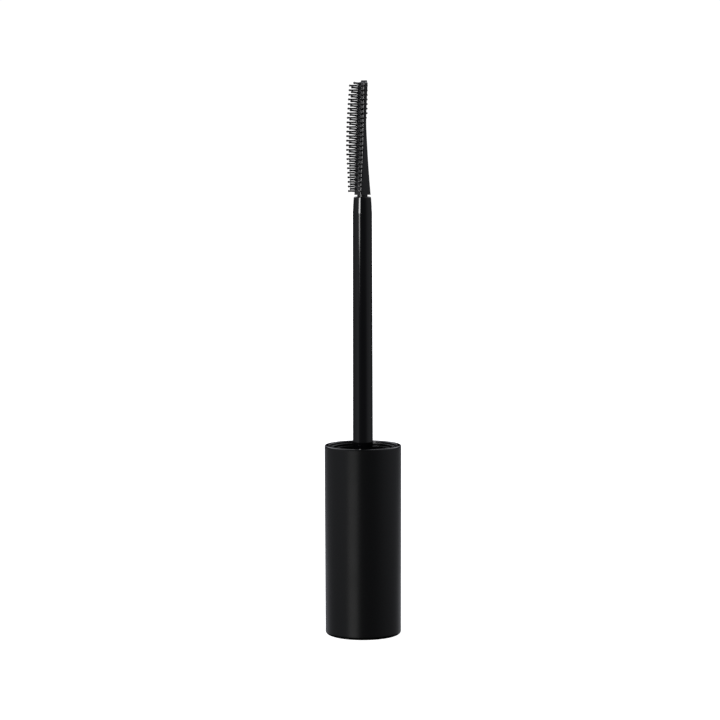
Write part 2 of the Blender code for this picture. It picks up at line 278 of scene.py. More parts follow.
# %% Foamed polyethylene and zinc-plated steel
FOAM_CELL = 0.25 * MM
TOOL_FEED = 0.2 * MM
RINGS_PER_SCALE = 20

foam, tree, shader, place = new_material("foamed_polyethylene_sheet")
set_finish(shader, Roughness=0.75, IOR=1.45)
voronoi = add_node(tree, "ShaderNodeTexVoronoi", inputs={"Vector": place, "Scale": 1 / FOAM_CELL})
cells = voronoi.outputs["Distance"]
join(
    tree,
    shader,
    Base_Color=tint(tree, cells, "#d9d9d6", "#c4c4c0"),
    Normal=bump(tree, cells, 0.5, 0.05 * MM),
)

steel, tree, shader, place = new_material("zinc_plated_turned_steel")
set_finish(shader, Metallic=1.0)
waves = add_node(
    tree,
    "ShaderNodeTexWave",
    {"wave_type": "RINGS", "rings_direction": "Z"},
    {"Vector": place, "Scale": 1 / (TOOL_FEED * RINGS_PER_SCALE), "Distortion": 0.5},
)
rings = waves.outputs["Fac"]
rough = add_node(tree, "ShaderNodeMapRange", inputs={"Value": rings, "To Min": 0.28, "To Max": 0.4})
join(
    tree,
    shader,
    Roughness=rough.outputs["Result"],
    Base_Color=tint(tree, rings, "#a9abb0", "#bfc1c5"),
)

for node_name, finish in (("neck_gasket", foam), ("cap_weight", steel)):
    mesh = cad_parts[node_name].data
    mesh.materials.clear()
    mesh.materials.append(finish)
print("finishes:", sorted(m.name for m in bpy.data.materials))

# %% [markdown]
# ## Turned pieces
# The cap, the inner cap and the stem are round, so each is a profile turned about the Z axis. A profile is a
# short list of corners, each with a radius, a height and a rounding. One function draws each rounding as an
# arc that is tangent to both sides. Another adds a point at both ends of each long side, so that the shading
# of an arc does not bleed along it. A third spins the profile, merges its seam and turns its faces outwards.
# A Screw modifier would do the same, but the spin leaves a plain mesh that needs nothing more.

# %% Helpers for turned pieces
ARC_STEPS = 6
MERGE = 1e-7
SUPPORT = 0.12 * MM


def rounded(corners, closed=False):
    """The points of an outline whose corners are (x, y, rounding), with an arc at each rounded corner."""
    points = []
    count = len(corners)
    for index, (x, y, rounding) in enumerate(corners):
        here = Vector((x, y))
        if rounding <= 0 or (not closed and index in (0, count - 1)):
            points.append(here)
            continue
        before = Vector(corners[index - 1][:2])
        after = Vector(corners[(index + 1) % count][:2])
        into, out = (before - here).normalized(), (after - here).normalized()
        half = into.angle(out) / 2
        centre = here + (into + out).normalized() * (rounding / math.sin(half))
        start = here + into * (rounding / math.tan(half)) - centre
        turn = start.angle_signed(here + out * (rounding / math.tan(half)) - centre)
        for step in range(ARC_STEPS + 1):
            spun = start.copy()
            spun.rotate(Matrix.Rotation(-turn * step / ARC_STEPS, 2))
            points.append(centre + spun)
    return points


def show(name, mesh, finish, sharp_degrees=32.0):
    """An object for a finished mesh, smooth except at edges sharper than an angle."""
    mesh.name = name
    mesh.materials.clear()
    mesh.materials.append(finish)
    mesh.shade_smooth()
    mesh.set_sharp_from_angle(angle=math.radians(sharp_degrees))
    piece = bpy.data.objects.new(name, mesh)
    bpy.context.scene.collection.objects.link(piece)
    print(f"{name}: {len(mesh.polygons)} faces")
    return piece


def supported(outline, closed):
    """The outline with a point close to both ends of each long side, so that shading is even on it."""
    points = []
    for index, here in enumerate(outline):
        points.append(here)
        if index + 1 == len(outline) and not closed:
            continue
        after = outline[(index + 1) % len(outline)]
        step = (after - here).normalized() * SUPPORT
        if (after - here).length > 4 * SUPPORT:
            points += [here + step, after - step]
    return points


def turned_mesh(corners, steps, closed=False):
    """Spin an outline of (radius, height, rounding) corners about Z. A closed outline makes a ring."""
    outline = supported(rounded(corners, closed), closed)
    shape = bmesh.new()
    verts = [shape.verts.new((p.x, 0.0, p.y)) for p in outline]
    edges = [shape.edges.new(pair) for pair in zip(verts, verts[1:])]
    if closed:
        edges.append(shape.edges.new((verts[-1], verts[0])))
    bmesh.ops.spin(
        shape,
        geom=verts + edges,
        cent=(0, 0, 0),
        axis=(0, 0, 1),
        angle=math.tau,
        steps=steps,
        use_merge=True,
    )
    bmesh.ops.remove_doubles(shape, verts=shape.verts, dist=MERGE)
    bmesh.ops.recalc_face_normals(shape, faces=shape.faces)
    mesh = bpy.data.meshes.new("turned")
    shape.to_mesh(mesh)
    shape.free()
    return mesh


# %% [markdown]
# ## The outer cap
# The cap is a deep cup with a thin wall, turned mouth up. Its lip is rounded inside and out, and its closed
# end has a small rounded edge. It has a slight draft, so that it leaves its mould: the closed end is a
# little smaller than the mouth. Its height and outer radius come from the frame's box.

# %% Turn the outer cap
CAP_WALL = 1.05 * MM
CAP_END_WALL = 1.6 * MM
CAP_DRAFT = 0.09 * MM
CAP_FLOOR_ROUND = 0.5 * MM
CAP_END_ROUND = 0.7 * MM
LIP_INNER_ROUND = 0.22 * MM
LIP_OUTER_ROUND = 0.3 * MM
CAP_STEPS = 192

cap_radius, cap_length = cap_high.x, cap_high.z
cap_bore = cap_radius - CAP_WALL
cap_corners = [
    (0.0, CAP_END_WALL, 0.0),
    (cap_bore, CAP_END_WALL, CAP_FLOOR_ROUND),
    (cap_bore, cap_length, LIP_INNER_ROUND),
    (cap_radius, cap_length, LIP_OUTER_ROUND),
    (cap_radius - CAP_DRAFT, 0.0, CAP_END_ROUND),
    (0.0, 0.0, 0.0),
]
outer_cap = show("outer_cap", turned_mesh(cap_corners, CAP_STEPS), lacquer)
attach(outer_cap, "root")
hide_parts("cap_shell")

# %% [markdown]
# ## The bare edge of the cap's bore
# The lacquer is sprayed on the outside only. Inside the mouth a narrow band of the bore stays bare, where
# the lip meets the inner cap, and its moulded plastic is as shiny as the stem's. It is drawn as a thin ring
# of its own, sunk in the wall, that stands out of the bore by a fiftieth of a millimetre.

# %% Turn the bare band
BAND_TOP = 0.14 * MM
BAND_DEPTH = 0.6 * MM
BAND_WALL = 0.3 * MM
BAND_PROUD = 0.02 * MM
BAND_ROUND = 0.06 * MM

band_radius = cap_bore - BAND_PROUD
band_top_z, band_low_z = cap_length - BAND_TOP, cap_length - BAND_DEPTH
band_corners = [
    (band_radius, band_low_z, 0.0),
    (band_radius, band_top_z, BAND_ROUND),
    (band_radius + BAND_WALL, band_top_z, 0.0),
    (band_radius + BAND_WALL, band_low_z, 0.0),
]
bore_band = show("cap_bore_band", turned_mesh(band_corners, CAP_STEPS, closed=True), acetal)
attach(bore_band, "root")
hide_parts("cap_shell")

# %% [markdown]
# ## The inner cap
# The inner cap is a cup pressed into the outer one. Its mouth is a little wider than its bore, which leaves
# a small step above the thread. Its floor has a recess for the stem's flange, and below it a tail tube holds
# the stem's root. It is turned in one ring. The frame gives its top, and the gasket, the stem's flange and
# the stem's foot give the places of the floor, the recess and the tail.

# %% Turn the inner cap
FIT_GAP = 0.3 * MM
PRESSED_GAP = 0.05 * MM
LINER_WALL = 1.05 * MM
LINER_FLOOR = 0.9 * MM
LINER_EDGE = 0.3 * MM
ENTRY_DEPTH = 0.62 * MM
ENTRY_STEP = 0.35 * MM
ENTRY_ROUNDS = (0.12 * MM, 0.08 * MM, 0.15 * MM)
RECESS_DEPTH = 1.3 * MM
RECESS_ROUND = 0.1 * MM
SEAT_ROUND = 0.2 * MM
FLANGE_WIDTH = 1.9 * MM
TAIL_WALL = 1.2 * MM
TAIL_ROUND = 0.2 * MM
BEAD_TOP = 1.5 * MM
LINER_STEPS = 144

liner_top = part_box("thread_liner")[1].z
stem_low, stem_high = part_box("stem")
seat_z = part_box("neck_gasket")[0].z - FIT_GAP
liner_radius = cap_bore - PRESSED_GAP
liner_bore = cap_bore - FIT_GAP - LINER_WALL
entry_radius = liner_bore + ENTRY_STEP
entry_z = liner_top - ENTRY_DEPTH
flange_radius = stem_high.x
recess_radius = flange_radius + FIT_GAP
recess_z = seat_z - RECESS_DEPTH
liner_under_z = recess_z - LINER_FLOOR
tail_bore = flange_radius - FLANGE_WIDTH + FIT_GAP
tail_radius = tail_bore + TAIL_WALL
tail_end_z = stem_low.z + BEAD_TOP + FIT_GAP

liner_corners = [
    (liner_radius, liner_top, ENTRY_ROUNDS[0]),
    (liner_radius, liner_under_z, LINER_EDGE),
    (tail_radius, liner_under_z, LINER_EDGE),
    (tail_radius, tail_end_z, TAIL_ROUND),
    (tail_bore, tail_end_z, TAIL_ROUND),
    (tail_bore, recess_z, RECESS_ROUND),
    (recess_radius, recess_z, RECESS_ROUND),
    (recess_radius, seat_z, RECESS_ROUND),
    (liner_bore, seat_z, SEAT_ROUND),
    (liner_bore, entry_z, ENTRY_ROUNDS[0]),
    (entry_radius, entry_z, ENTRY_ROUNDS[1]),
    (entry_radius, liner_top, ENTRY_ROUNDS[2]),
]
inner_cap = show("inner_cap", turned_mesh(liner_corners, LINER_STEPS, closed=True), polypropylene)
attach(inner_cap, "root")
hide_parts("thread_liner")

# %% [markdown]
# ## Geometry Nodes for what follows a rule
# The thread, the ribs and the bristles repeat or follow a path, so Geometry Nodes make them. A tree is
# built in the script with named inputs. One helper gives it its sockets, and one ends it with real geometry.
# A third runs a tree on a mesh: it sets the inputs by their identifiers, reads the result as a plain mesh,
# and drops the modifier. The last gives the width of a swept shape along its path, for thread and bristles.


# %% Helpers for Geometry Nodes
def new_tree(name, sizes):
    """A Geometry Nodes tree with one geometry in and out, a material, and an input for each named size."""
    tree = bpy.data.node_groups.new(name, "GeometryNodeTree")
    tree.interface.new_socket("Geometry", in_out="OUTPUT", socket_type="NodeSocketGeometry")
    tree.interface.new_socket("Geometry", in_out="INPUT", socket_type="NodeSocketGeometry")
    for size, value in sizes.items():
        kind = "NodeSocketInt" if isinstance(value, int) else "NodeSocketFloat"
        tree.interface.new_socket(size, in_out="INPUT", socket_type=kind)
    tree.interface.new_socket("Finish", in_out="INPUT", socket_type="NodeSocketMaterial")
    return tree, add_node(tree, "NodeGroupInput").outputs


def close_tree(tree, given, geometry):
    """End a tree with real geometry that carries its material."""
    real = add_node(tree, "GeometryNodeRealizeInstances", inputs={"Geometry": geometry})
    finish = {"Geometry": real.outputs["Geometry"], "Material": given["Finish"]}
    finished = add_node(tree, "GeometryNodeSetMaterial", inputs=finish)
    add_node(tree, "NodeGroupOutput", inputs={"Geometry": finished.outputs["Geometry"]})


def grown_mesh(tree, base_mesh, sizes, finish):
    """The plain mesh that a tree grows from a base mesh with these sizes."""
    grower = bpy.data.objects.new("grower", base_mesh)
    bpy.context.scene.collection.objects.link(grower)
    modifier = grower.modifiers.new("grow", "NODES")
    modifier.node_group = tree
    for socket in tree.interface.items_tree:
        if socket.in_out == "INPUT" and socket.name in sizes:
            modifier[socket.identifier] = sizes[socket.name]
        elif socket.in_out == "INPUT" and socket.name == "Finish":
            modifier[socket.identifier] = finish
    evaluated = grower.evaluated_get(bpy.context.evaluated_depsgraph_get())
    mesh = bpy.data.meshes.new_from_object(evaluated)
    grower.modifiers.clear()
    bpy.data.objects.remove(grower)
    return mesh


def width_curve(tree, path_share, points):
    """A width that follows a curve through (share, width) points along a path."""
    node = add_node(tree, "ShaderNodeFloatCurve", inputs={"Value": path_share})
    knots = node.mapping.curves[0].points
    knots[0].location, knots[1].location = points[0], points[-1]
    for point in points[1:-1]:
        knots.new(*point)
    node.mapping.update()
    return node.outputs["Value"]


# %% [markdown]
# ## The inside thread
# The thread that takes the bottle's neck is a ridge of one and a half turns. Its path is a spiral curve, and
# a four-sided profile sweeps along it. The profile is turned so that its narrow side faces inwards. It is
# twice as deep as the ridge is high, because half of it lies in the wall. It shrinks at both ends, where a
# real thread runs out.

# %% Grow the thread
THREAD_START = 0.6 * MM
THREAD_CREST = 0.35
THREAD_FADE = ((0.0, 0.05), (0.08, 1.0), (0.92, 1.0), (1.0, 0.05))

thread_sizes = {"Radius": liner_bore, "Pitch": 2.6 * MM, "Turns": 1.5, "Width": 1.3 * MM, "Height": 0.6 * MM}
thread_top = entry_z - THREAD_START - thread_sizes["Width"] / 2
tree, given = new_tree("inside thread", thread_sizes)
drop = add_node(tree, "ShaderNodeMath", {"operation": "MULTIPLY"}, {0: given["Pitch"], 1: given["Turns"]})
spiral = add_node(
    tree,
    "GeometryNodeCurveSpiral",
    inputs={
        "Resolution": 72,
        "Rotations": given["Turns"],
        "Start Radius": given["Radius"],
        "End Radius": given["Radius"],
        "Height": drop.outputs["Value"],
    },
)
upright = add_node(tree, "GeometryNodeSetCurveNormal", {"mode": "Z_UP"}, {"Curve": spiral.outputs["Curve"]})
path_share = add_node(tree, "GeometryNodeSplineParameter").outputs["Factor"]
across = add_node(tree, "ShaderNodeMath", {"operation": "MULTIPLY"}, {0: given["Height"], 1: 2.0})
crest = add_node(tree, "ShaderNodeMath", {"operation": "MULTIPLY"}, {0: given["Width"], 1: THREAD_CREST})
ridge = add_node(
    tree,
    "GeometryNodeCurvePrimitiveQuadrilateral",
    {"mode": "TRAPEZOID"},
    {
        "Height": across.outputs["Value"],
        "Bottom Width": given["Width"],
        "Top Width": crest.outputs["Value"],
        "Offset": 0.0,
    },
)
inward = add_node(
    tree,
    "GeometryNodeTransform",
    inputs={"Geometry": ridge.outputs["Curve"], "Rotation": (0.0, 0.0, math.radians(-90.0))},
)
swept = add_node(
    tree,
    "GeometryNodeCurveToMesh",
    inputs={
        "Curve": upright.outputs["Curve"],
        "Profile Curve": inward.outputs["Geometry"],
        "Scale": width_curve(tree, path_share, THREAD_FADE),
        "Fill Caps": True,
    },
)
close_tree(tree, given, swept.outputs["Mesh"])
thread = grown_mesh(tree, bpy.data.meshes.new("seed"), thread_sizes, polypropylene)
thread.transform(Matrix.Translation((0, 0, thread_top - thread_sizes["Pitch"] * thread_sizes["Turns"])))
inner_thread = show("inner_cap_thread", thread, polypropylene)
print("thread radii in mm:", sorted({round(math.hypot(v.co.x, v.co.y) / MM, 1) for v in thread.vertices}))
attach(inner_thread, "root")
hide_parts("thread_liner")

# %% [markdown]
# ## The ribs
# Six thin ribs stand out from the tail tube, under the inner cap's floor. They brace the tube and hold the
# weight down below them. The tree takes six points on a circle, sets a box on each, turned to face the axis,
# and makes them real.

# %% Grow the ribs
RIB_IN_FLOOR = 0.45 * MM
RIB_IN_TAIL = 0.6 * MM
RIB_OUTER_GAP = 0.3 * MM
RIB_TURN = math.radians(15)

rib_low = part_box("cap_weight")[1].z + FIT_GAP
rib_high = liner_under_z + RIB_IN_FLOOR
rib_in, rib_out = tail_radius - RIB_IN_TAIL, liner_radius - RIB_OUTER_GAP
rib_sizes = {
    "Count": 6,
    "Radius": (rib_in + rib_out) / 2,
    "Length": rib_out - rib_in,
    "Thickness": 1.0 * MM,
    "Height": rib_high - rib_low,
}
tree, given = new_tree("ribs", rib_sizes)
circle = add_node(
    tree, "GeometryNodeMeshCircle", inputs={"Vertices": given["Count"], "Radius": given["Radius"]}
)
rib_size = add_node(
    tree,
    "ShaderNodeCombineXYZ",
    inputs={"X": given["Length"], "Y": given["Thickness"], "Z": given["Height"]},
)
rib = add_node(tree, "GeometryNodeMeshCube", inputs={"Size": rib_size.outputs["Vector"]})
where = add_node(tree, "GeometryNodeInputPosition").outputs["Position"]
facing = add_node(tree, "FunctionNodeAlignRotationToVector", {"axis": "X"}, {"Vector": where})
placed = add_node(
    tree,
    "GeometryNodeInstanceOnPoints",
    inputs={
        "Points": circle.outputs["Mesh"],
        "Instance": rib.outputs["Mesh"],
        "Rotation": facing.outputs["Rotation"],
    },
)
close_tree(tree, given, placed.outputs["Instances"])
ribs = grown_mesh(tree, bpy.data.meshes.new("seed"), rib_sizes, polypropylene)
ribs.transform(Matrix.Translation((0, 0, (rib_low + rib_high) / 2)) @ Matrix.Rotation(RIB_TURN, 4, "Z"))
cap_ribs = show("inner_cap_ribs", ribs, polypropylene)
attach(cap_ribs, "root")
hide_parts("thread_liner")

# %% [markdown]
# ## The stem
# The stem is one long turned shape. From the rim up it narrows by a tenth of a millimetre, and its last few
# millimetres narrow further to a small rounded end. Hidden in the cap are its flange, which sits in the
# recess of the inner cap's floor, and a bead that snaps past the tail tube. The blind hole in its end takes
# the brush's plug.

# %% Turn the stem
STEM_RADIUS = 2.355 * MM
STEM_TAPER = 0.0018
STEM_EDGE = 0.1 * MM
TIP_LENGTH = 3.75 * MM
TIP_RADIUS = 2.02 * MM
TIP_ROUND = 0.35 * MM
SHOULDER_ROUND = 6.0 * MM
SOCKET_RADIUS = 1.4 * MM
SOCKET_ROUND = 0.2 * MM
SOCKET_EDGE = 0.08 * MM
FLANGE_THICKNESS = 1.0 * MM
FLANGE_ROUND = 0.15 * MM
ROOT_SWELL = 0.15 * MM
BEAD_RISE = 0.5 * MM
BEAD_LENGTH = 0.5 * MM
STEM_STEPS = 128

brush_low, brush_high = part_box("brush")
stem_end = stem_high.z
plug_end = brush_low.z
socket_floor = plug_end - FIT_GAP
shoulder_z = stem_end - TIP_LENGTH
shoulder_radius = STEM_RADIUS - STEM_TAPER * (shoulder_z - cap_length)
seat_radius = STEM_RADIUS + STEM_TAPER * (cap_length - seat_z)
root_radius = STEM_RADIUS + ROOT_SWELL
bead_top = stem_low.z + BEAD_TOP

stem_corners = [
    (0.0, socket_floor, 0.0),
    (SOCKET_RADIUS, socket_floor, SOCKET_ROUND),
    (SOCKET_RADIUS, stem_end, SOCKET_EDGE),
    (TIP_RADIUS, stem_end, TIP_ROUND),
    (shoulder_radius, shoulder_z, SHOULDER_ROUND),
    (seat_radius, seat_z, STEM_EDGE),
    (flange_radius, seat_z, FLANGE_ROUND),
    (flange_radius, seat_z - FLANGE_THICKNESS, FLANGE_ROUND),
    (root_radius, seat_z - FLANGE_THICKNESS, STEM_EDGE),
    (root_radius, bead_top, 0.05 * MM),
    (root_radius + BEAD_RISE, bead_top, 0.12 * MM),
    (root_radius + BEAD_RISE, bead_top - BEAD_LENGTH, 0.15 * MM),
    (root_radius - BEAD_RISE, stem_low.z, STEM_EDGE),
    (0.0, stem_low.z, 0.0),
]
wand_stem = show("wand_stem", turned_mesh(stem_corners, STEM_STEPS), acetal)
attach(wand_stem, "root")
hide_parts("stem")

# %% [markdown]
# ## The brush's neck and plug
# A short neck joins the brush to the plug in the stem's socket. Ring grooves on the plug let the socket grip.

# %% Turn the neck and the plug
NECK_RADIUS = 1.22 * MM
NECK_LENGTH = 0.42 * MM
NECK_IN_CORE = 0.3 * MM
GROOVES = 3
GROOVE_DEPTH = 0.2 * MM
GROOVE_ROUND = 0.05 * MM
PLUG_ROUND = 0.3 * MM
PLUG_STEPS = 64

core_z = stem_end + NECK_LENGTH
groove_pitch = (stem_end - plug_end) / (2 * GROOVES + 1)
plug_corners = [(0.0, core_z + NECK_IN_CORE, 0.0), (NECK_RADIUS, core_z + NECK_IN_CORE, 0.0)]
for groove in range(GROOVES):
    top = stem_end - groove_pitch * (2 * groove + 1)
    plug_corners += [
        (NECK_RADIUS, top, GROOVE_ROUND),
        (NECK_RADIUS - GROOVE_DEPTH, top - GROOVE_DEPTH, GROOVE_ROUND),
        (NECK_RADIUS - GROOVE_DEPTH, top - groove_pitch + GROOVE_DEPTH, GROOVE_ROUND),
        (NECK_RADIUS, top - groove_pitch, GROOVE_ROUND),
    ]
plug_corners += [(NECK_RADIUS, plug_end, PLUG_ROUND), (0.0, plug_end, 0.0)]
brush_plug = show("brush_plug", turned_mesh(plug_corners, PLUG_STEPS), elastomer)
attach(brush_plug, "root")
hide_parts("brush")

# %% [markdown]
# ## The brush's core
# The core is not round. Its comb side, towards -X, is a blunt wedge that carries the bristles. A ridge runs
# up each flank, and behind it two faces close to a narrow back. The whole core bends gently: its centre and
# its sizes, given here in millimetres at five shares of its length, follow smooth curves. It is a loft: the
# same rounded outline, at many heights, with a rounded nose.

# %% Helpers for the core's outline
SHARES = (0.0, 0.17, 0.4, 0.66, 1.0)
CENTRES = (-0.37, -0.2, 0.05, 0.22, 0.40)
HALF_WIDTHS = (1.47, 1.33, 1.23, 1.2, 1.12)
BACKS = (1.88, 1.53, 1.15, 0.9, 1.28)
RIDGES = (-0.12, -0.08, 0.04, 0.1, 0.07)
REACHES = (2.95, 3.3, 3.85, 3.85, 3.4)
FACE, FLANK, HEEL = 0.42, 1.22, 0.42
FACE_ROUND, RIDGE_ROUND, HEEL_ROUND = 0.35, 0.28, 0.1


def along(values, share):
    """A value in metres at a share of the core's length, on a smooth curve through the given ones."""
    last = len(SHARES) - 1
    index = max(i for i in range(last) if share >= SHARES[i])
    ends = (index, index + 1)
    span = SHARES[ends[1]] - SHARES[ends[0]]
    slopes = []
    for end in ends:
        before, after = max(end - 1, 0), min(end + 1, last)
        slopes.append((values[after] - values[before]) / (SHARES[after] - SHARES[before]))
    t = (share - SHARES[index]) / span
    curve = values[ends[0]] * (1 + 2 * t) * (1 - t) ** 2 + values[ends[1]] * t * t * (3 - 2 * t)
    return MM * (curve + slopes[0] * span * t * (1 - t) ** 2 + slopes[1] * span * t * t * (t - 1))


def core_outline(share, inset):
    """The core's rounded outline (x, y) at a share of its length."""
    centre = along(CENTRES, share)
    half_width = along(HALF_WIDTHS, share) - inset
    back = along(BACKS, share) - inset / 3
    side = [
        (centre - half_width, -FACE * half_width, FACE_ROUND * half_width),
        (centre + along(RIDGES, share), -FLANK * half_width, RIDGE_ROUND * half_width),
        (back, -HEEL * half_width, HEEL_ROUND * half_width),
    ]
    mirrored = [(x, -y, rounding) for x, y, rounding in reversed(side)]
    return rounded(side + mirrored, closed=True)


# %% Loft the core
NOSE = ((0.0, 0.0), (0.05, 0.08), (0.12, 0.2), (0.22, 0.3), (0.36, 0.42), (0.5, 0.5), (0.62, 0.52))
CORE_TURN = math.radians(6.0)
CORE_SECTIONS = 72

core_length = brush_high.z - core_z
nose_start = 1.0 - NOSE[-1][0] * MM / core_length
places = [(nose_start * step / CORE_SECTIONS, 0.0) for step in range(CORE_SECTIONS)]
places += [(nose_start + rise * MM / core_length, inset * MM) for rise, inset in NOSE]
core_shape = bmesh.new()
rings = []
for share, inset in places:
    height = core_z + core_length * share
    rings.append([core_shape.verts.new((p.x, p.y, height)) for p in core_outline(share, inset)])
count = len(rings[0])
for near, far in zip(rings, rings[1:]):
    for i in range(count):
        core_shape.faces.new((near[i], near[(i + 1) % count], far[(i + 1) % count], far[i]))
core_shape.faces.new(rings[0])
core_shape.faces.new(rings[-1])
bmesh.ops.recalc_face_normals(core_shape, faces=core_shape.faces)
core_mesh = bpy.data.meshes.new("core")
core_shape.to_mesh(core_mesh)
core_shape.free()
core_mesh.transform(Matrix.Rotation(CORE_TURN, 4, "Z"))
brush_core = show("brush_core", core_mesh, elastomer, sharp_degrees=40.0)
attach(brush_core, "root")
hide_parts("brush")

# %% [markdown]
# ## The bristles
# Five rows of bristles fan out from the comb side. Three rows stand at the stations, one straight out and
# one to each side, and the two rows between them stand half a station higher. A bristle is flared at its
# root, where the mould lets it blend into the core, thin in its middle, and ends in a small pointed bead
# that keeps it gentle on the eye. The roots are points of a mesh that carry each bristle's direction and
# length, so the rows can follow the core's curve. Geometry Nodes draws one bristle of length 1 as a swept
# curve, and sets a copy on every root.

# %% Place the bristles' roots
STATIONS = 24
PITCH_START = 0.88 * MM
PITCH_END = 1.2 * MM
ROOT_DEPTH = 0.62
# The side rows: an angle in degrees, which bends towards the middle of the core, an offset and a rise.
NEAR_ROW, NEAR_OFFSET, NEAR_RISE = 90.0, 0.28 * MM, 0.1
FAR_ROW, FAR_OFFSET, FAR_FAN = -98.0, 0.1 * MM, 6.0
ROW_BEND = 11.0
FAN_START, FAN_END = 0.55, 0.7
# The rows at the half stations: two angles, a rise that sets in over a stretch of the core, and a reach.
HALF_ROWS = (38.0, -38.0)
HALF_RISE, RISE_START, RISE_END = 0.09, 0.2, 0.37
HALF_REACH, LAST_REACH = 1.06, 0.88

pitch = (core_length - PITCH_START - PITCH_END) / (STATIONS - 1)


def ramped(value, low, high):
    """How far a value is from low to high, from 0 to 1."""
    return min(1.0, max(0.0, (value - low) / (high - low)))


def bristle_root(share, degrees, rise, offset=0.0, reach_share=1.0):
    """The place, direction and length of a bristle at a share of the core, turned from -X towards -Y.

    It rises from its root to its tip, and its middle is at its share of the core's height.
    """
    angle = math.radians(degrees)
    outward = Vector((-math.cos(angle), -math.sin(angle), 0.0))
    start = ROOT_DEPTH * along(HALF_WIDTHS, share)
    length = along(REACHES, share) * reach_share - start
    middle_z = core_z + core_length * share
    centre = Vector((along(CENTRES, share) - offset, 0.0, middle_z - rise * length / 2))
    return centre + outward * start, (outward + Vector((0, 0, rise))).normalized(), length


roots = []
for station in range(STATIONS):
    share = (PITCH_START + pitch * station) / core_length
    half_share = share + pitch / 2 / core_length
    swell = math.sin(math.pi * share)
    bend = ROW_BEND * swell
    fanned = ramped(share, FAN_START, FAN_END)
    far_degrees = FAR_ROW + bend * (1 - fanned) - FAR_FAN * fanned
    roots.append(bristle_root(share, 0.0, 0.0))
    roots.append(bristle_root(share, NEAR_ROW - bend, NEAR_RISE * swell, offset=NEAR_OFFSET))
    roots.append(bristle_root(share, far_degrees, 0.0, offset=FAR_OFFSET))
    half_rise = HALF_RISE * ramped(half_share, RISE_START, RISE_END)
    half_reach = LAST_REACH if station == STATIONS - 1 else HALF_REACH
    for degrees in HALF_ROWS:
        roots.append(bristle_root(half_share, degrees, half_rise, reach_share=half_reach))
root_mesh = bpy.data.meshes.new("roots")
root_mesh.from_pydata([place for place, direction, length in roots], [], [])
root_mesh.attributes.new("direction", "FLOAT_VECTOR", "POINT")
root_mesh.attributes.new("length", "FLOAT", "POINT")
for index, (place, direction, length) in enumerate(roots):
    root_mesh.attributes["direction"].data[index].vector = direction
    root_mesh.attributes["length"].data[index].value = length
print(len(roots), "bristles")

# %% Grow the bristles
BRISTLE_SHAPE = (
    (0.0, 0.86),
    (0.2, 0.82),
    (0.3, 0.64),
    (0.45, 0.54),
    (0.76, 0.5),
    (0.85, 0.52),
    (0.93, 0.66),
    (0.98, 0.48),
    (1.0, 0.12),
)
bristle_sizes = {"Root Radius": 0.4 * MM, "Sides": 8}
tree, given = new_tree("bristles", bristle_sizes)
line = add_node(tree, "GeometryNodeCurvePrimitiveLine", inputs={"End": (0.0, 0.0, 1.0)})
fine = add_node(tree, "GeometryNodeResampleCurve", inputs={"Curve": line.outputs["Curve"], "Count": 21})
line_share = add_node(tree, "GeometryNodeSplineParameter").outputs["Factor"]
around = add_node(
    tree,
    "GeometryNodeCurvePrimitiveCircle",
    inputs={"Resolution": given["Sides"], "Radius": given["Root Radius"]},
)
prong = add_node(
    tree,
    "GeometryNodeCurveToMesh",
    inputs={
        "Curve": fine.outputs["Curve"],
        "Profile Curve": around.outputs["Curve"],
        "Scale": width_curve(tree, line_share, BRISTLE_SHAPE),
        "Fill Caps": True,
    },
)
pointing = add_node(
    tree, "GeometryNodeInputNamedAttribute", {"data_type": "FLOAT_VECTOR"}, {"Name": "direction"}
)
reach = add_node(tree, "GeometryNodeInputNamedAttribute", {"data_type": "FLOAT"}, {"Name": "length"})
turn = add_node(
    tree, "FunctionNodeAlignRotationToVector", {"axis": "Z"}, {"Vector": pointing.outputs["Attribute"]}
)
stretch = add_node(tree, "ShaderNodeCombineXYZ", inputs={"X": 1.0, "Y": 1.0, "Z": reach.outputs["Attribute"]})
rows = add_node(
    tree,
    "GeometryNodeInstanceOnPoints",
    inputs={
        "Points": given["Geometry"],
        "Instance": prong.outputs["Mesh"],
        "Rotation": turn.outputs["Rotation"],
        "Scale": stretch.outputs["Vector"],
    },
)
close_tree(tree, given, rows.outputs["Instances"])
bristles = grown_mesh(tree, root_mesh, bristle_sizes, elastomer)
brush_bristles = show("brush_bristles", bristles, elastomer, sharp_degrees=60.0)
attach(brush_bristles, "root")
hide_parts("brush")

# %% [markdown]
# ## Light
# Black plastic shows only what it mirrors, so the light is drawn as things to mirror. A tall narrow softbox
# on the left gives the sharp highlight on the stem and the brush. It is a stack of four strips, and the
# lower ones are dimmer and narrower, so that the highlight fades towards the cap. A second softbox, higher
# and further left, lights only the cap's mouth. A white card below the table's top lights only the outer
# cap, whose lacquer spreads it wide. Each light is linked to the pieces that it is for, because in a studio
# flags would keep it off the others.

# %% Light the set
SOFTBOX_DISTANCE = 700 * MM
KEY_RADIANCE = 17.0
KEY_DEGREES = -36.0
# Each strip: its low and high ends in mm, its share of the radiance, and its width in mm.
KEY_STRIPS = ((100, 900, 1.0, 220), (60, 100, 0.42, 160), (50, 60, 0.1, 130), (34, 50, 0.03, 110))


def receivers(name, pieces):
    """A collection of the pieces that a light is linked to. It isn't put in the scene."""
    group = bpy.data.collections.new(name)
    for piece in pieces:
        group.objects.link(piece)
    return group


